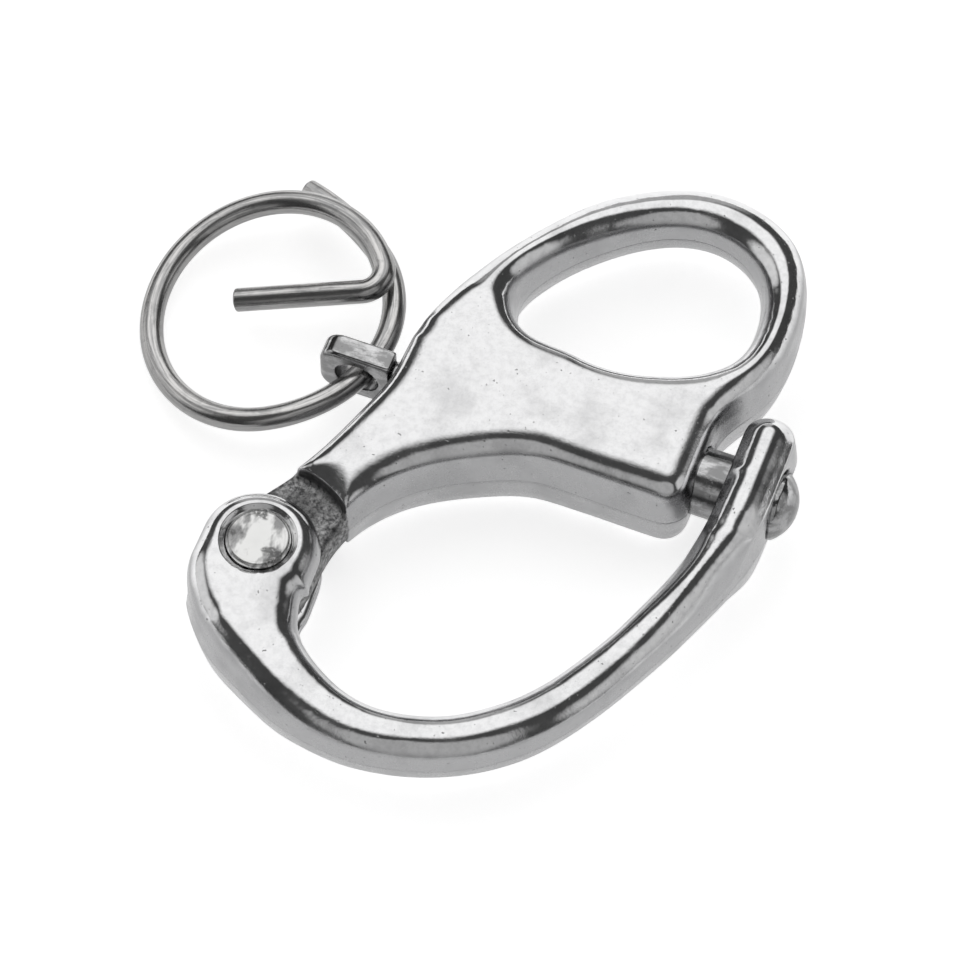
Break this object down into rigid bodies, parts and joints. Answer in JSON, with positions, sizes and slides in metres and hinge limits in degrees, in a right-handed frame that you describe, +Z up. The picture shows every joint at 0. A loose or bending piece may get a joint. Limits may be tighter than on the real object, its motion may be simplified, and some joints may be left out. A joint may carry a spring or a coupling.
{
  "type": "panic snap",
  "caption": "Fixed-eye panic snap in polished cast stainless steel: a hinged jaw locked by a spring-loaded plunger that a wire ring pulls back.",
  "frame": {"origin": "On the surface that the snap lies on, below the point where the load line crosses the plunger's axis", "axes": "+X along the plunger towards the latch end of the jaw, +Y towards the fixed eye, +Z up through the thickness from the resting face"},
  "size_m": [0.0614, 0.0624, 0.0106],
  "materials": {
    "cast": "mirror-polished cast stainless steel",
    "rivet": "dull stainless steel rivet with a peened face",
    "turned": "polished turned stainless steel",
    "wire": "drawn stainless spring wire with fine lengthwise marks"
  },
  "bodies": {
    "body": {"body": "cast", "spring": "wire"},
    "jaw": {"jaw": "cast", "hinge_pin": "rivet"},
    "plunger": {"plunger": "turned"},
    "ring": {"pull_ring": "wire"}
  },
  "joints": [
    {"name": "jaw_hinge", "type": "hinge", "parent": "body", "child": "jaw", "pos_m": [-0.0189, -0.021, 0.0053], "axis": [0, 0, -1], "range_deg": [0, 130]},
    {"name": "plunger_slide", "type": "slide", "parent": "body", "child": "plunger", "axis": [-1, 0, 0], "range_m": [0, 0.008], "stiffness_N_per_m": 1200, "springref_m": -0.0067, "deforming": ["spring"]},
    {"name": "ring_swing", "type": "hinge", "parent": "plunger", "child": "ring", "pos_m": [-0.01735, 0, 0.0053], "axis": [0, 1, 0], "range_deg": [-90, 105]}
  ]
}
